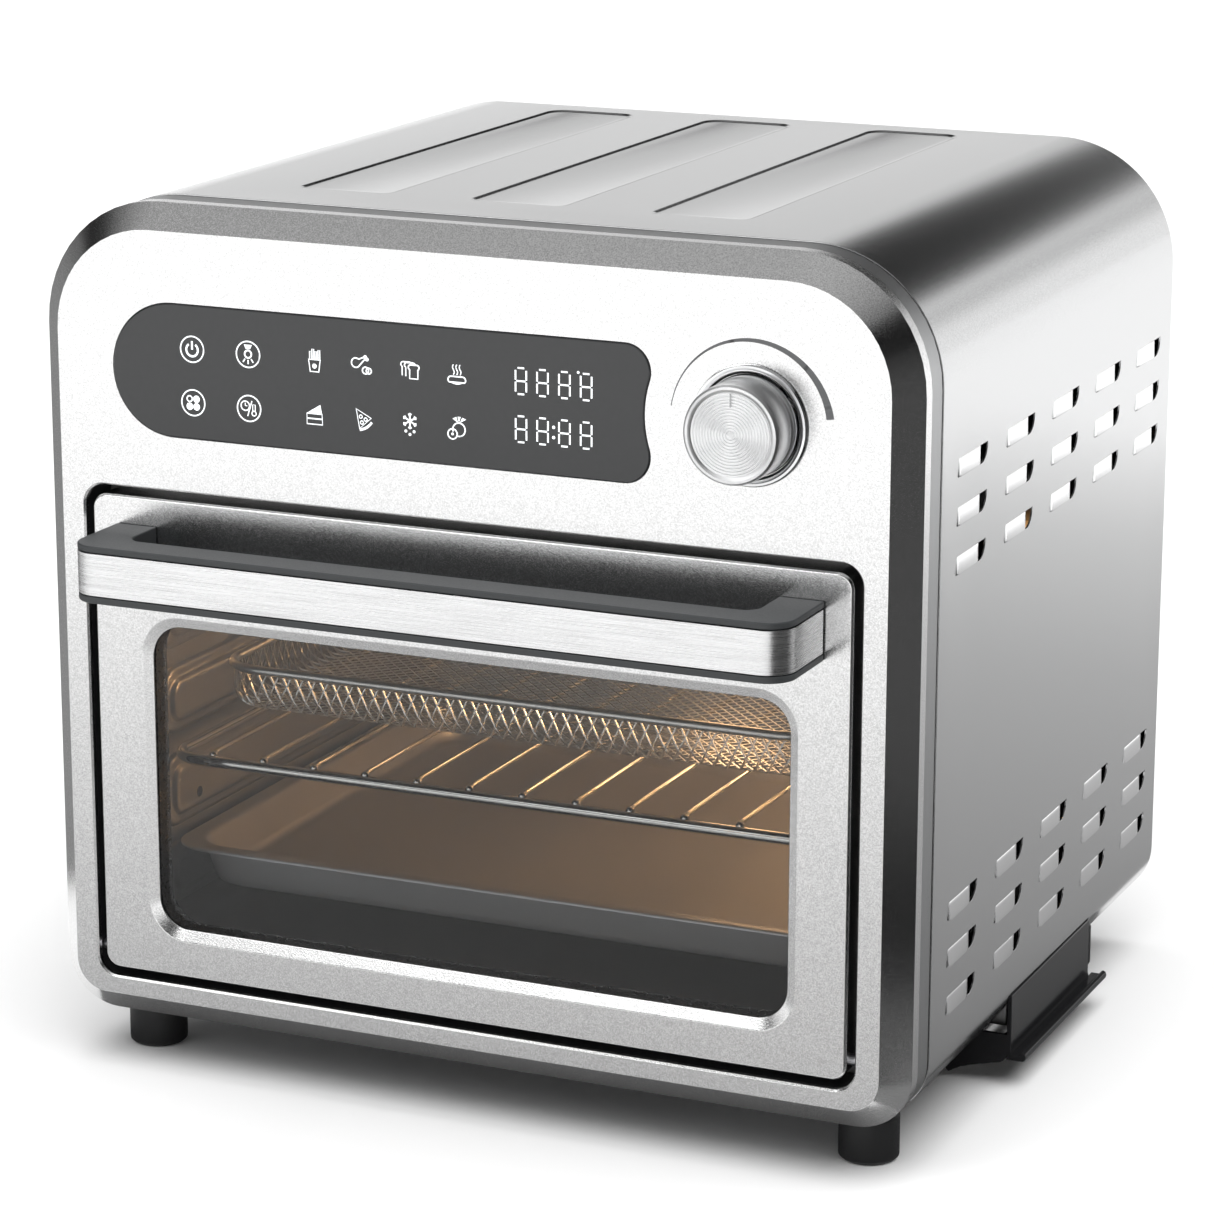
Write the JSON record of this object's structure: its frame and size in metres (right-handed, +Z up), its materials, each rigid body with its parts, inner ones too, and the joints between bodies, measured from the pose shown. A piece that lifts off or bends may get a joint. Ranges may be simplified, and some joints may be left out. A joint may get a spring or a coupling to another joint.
{
  "type": "toaster oven",
  "caption": "Compact digital toaster oven with a drop-down glass door, bar handle, dark control panel with one knob, louvred steel housing and side crumb tray.",
  "frame": {"origin": "middle of the oven's footprint, on the worktop under the feet", "axes": "+Z up, -Y towards the door, +X to the right seen from the front"},
  "size_m": [0.347, 0.338, 0.3297],
  "materials": {
    "housing_steel": "satin",
    "silver_face": "fine sparkle silver",
    "chrome": "polished",
    "dark_steel": "satin black",
    "liner_steel": "satin",
    "enamel": "glossy enamel",
    "mesh_steel": "bright",
    "element": "matt oxide",
    "aluminium": "satin",
    "handle_plastic": "fine matt",
    "handle_steel": "brushed along the bar",
    "black_plastic": "gloss",
    "rubber": "matt",
    "silicone": "satin",
    "window_glass": "clear",
    "display_glass": "gloss",
    "lamp_glass": "clear",
    "board": "solder mask",
    "fastener": "zinc"
  },
  "bodies": {
    "chassis": {"housing_wrap": "housing_steel", "front_frame": "silver_face", "base_plate": "dark_steel", "rear_cover": "dark_steel", "cord_gland": "rubber", "display_glass": "display_glass", "control_board": "board", "knob_ring": "chrome", "encoder_body": "black_plastic", "hinge_pin_left": "fastener", "hinge_pin_right": "fastener", "hinge_bracket_left": "dark_steel", "hinge_bracket_right": "dark_steel", "cavity_liner": "liner_steel", "fan_pan": "aluminium", "heating_element": "element", "element_guard": "chrome", "motor_bracket": "dark_steel", "fan_motor": "dark_steel", "lamp_cover": "lamp_glass", "lamp_bulb": "lamp_glass", "temperature_probe": "fastener", "power_board": "board", "door_switch": "black_plastic", "rear_screw_1": "fastener", "rear_screw_2": "fastener", "rear_screw_3": "fastener", "rear_screw_4": "fastener", "foot_front_left": "rubber", "foot_front_right": "rubber", "foot_rear_left": "rubber", "foot_rear_right": "rubber"},
    "door": {"door_frame": "silver_face", "door_glass": "window_glass", "door_inner_frame": "dark_steel", "door_gasket": "silicone", "handle_bar": "handle_plastic", "handle_strip": "handle_steel", "handle_screw_left": "fastener", "handle_screw_right": "fastener", "door_spring_left": "fastener", "door_spring_right": "fastener"},
    "knob": {"knob_cap": "chrome", "encoder_shaft": "aluminium"},
    "rotor": {"hot_air_fan": "aluminium", "cooling_fan": "black_plastic", "motor_shaft": "fastener"},
    "basket": {"mesh_basket": "mesh_steel"},
    "rack": {"wire_rack": "chrome"},
    "tray": {"baking_tray": "enamel"},
    "crumb_drawer": {"crumb_tray": "liner_steel", "crumb_tray_pull": "black_plastic"}
  },
  "joints": [
    {"name": "door_hinge", "type": "hinge", "parent": "chassis", "child": "door", "pos_m": [-0.0025, -0.127, 0.046], "axis": [1, 0, 0], "range_deg": [0, 90]},
    {"name": "knob_turn", "type": "hinge", "parent": "chassis", "child": "knob", "pos_m": [0.1075, -0.133, 0.27], "axis": [0, -1, 0], "continuous": true},
    {"name": "fan_spin", "type": "hinge", "parent": "chassis", "child": "rotor", "pos_m": [-0.0025, 0.012, 0.24], "axis": [0, 0, 1], "continuous": true},
    {"name": "basket_slide", "type": "slide", "parent": "chassis", "child": "basket", "axis": [0, -1, 0], "range_m": [0, 0.13]},
    {"name": "rack_slide", "type": "slide", "parent": "chassis", "child": "rack", "axis": [0, -1, 0], "range_m": [0, 0.1]},
    {"name": "tray_slide", "type": "slide", "parent": "chassis", "child": "tray", "axis": [0, -1, 0], "range_m": [0, 0.044]},
    {"name": "crumb_slide", "type": "slide", "parent": "chassis", "child": "crumb_drawer", "axis": [1, 0, 0], "range_m": [0, 0.31]}
  ],
  "couplings": [
    {"joint": "basket_slide", "follows": "door_hinge", "m_per_rad": 0.08276},
    {"joint": "rack_slide", "follows": "door_hinge", "m_per_rad": 0.063661},
    {"joint": "tray_slide", "follows": "door_hinge", "m_per_rad": 0.02801}
  ]
}
